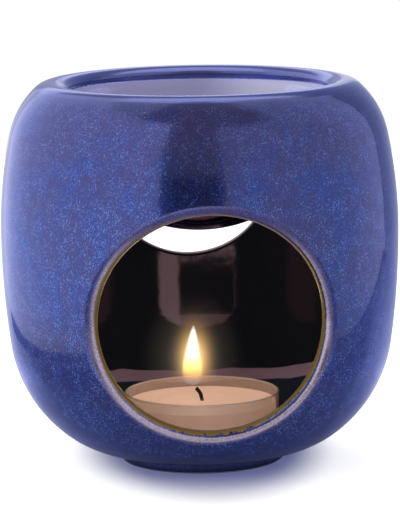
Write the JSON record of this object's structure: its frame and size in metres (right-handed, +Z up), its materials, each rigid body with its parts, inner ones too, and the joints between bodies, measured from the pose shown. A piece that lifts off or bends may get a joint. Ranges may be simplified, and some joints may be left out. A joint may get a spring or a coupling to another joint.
{
  "type": "oil burner",
  "caption": "Rounded glazed ceramic oil burner: a bowl on top holds water and oil, and a tealight behind the round front opening warms it from below.",
  "frame": {"origin": "on the surface that the foot stands on, on the burner's upright axis", "axes": "+Z up along the upright axis, -Y out of the front opening, +X to the right when seen from the front"},
  "size_m": [0.0972, 0.0961, 0.0938],
  "materials": {
    "glaze": "glossy cobalt glaze with paler flecks",
    "basin_glaze": "glossy cobalt glaze with paler flecks",
    "clear_cup": "frosted moulded polycarbonate",
    "wax": "paraffin wax, molten on top",
    "wick": "charred cotton",
    "tinned_steel": "tinned sheet steel"
  },
  "bodies": {
    "burner": {"burner_body": "glaze", "oil_basin": "basin_glaze"},
    "tealight": {"tealight_cup": "clear_cup", "tealight_wax": "wax", "tealight_wick": "wick", "wick_sustainer": "tinned_steel"}
  },
  "joints": [
    {"name": "tealight_slide", "type": "slide", "parent": "burner", "child": "tealight", "axis": [0, -0.829, 0.5592], "range_m": [0, 0.085]}
  ]
}
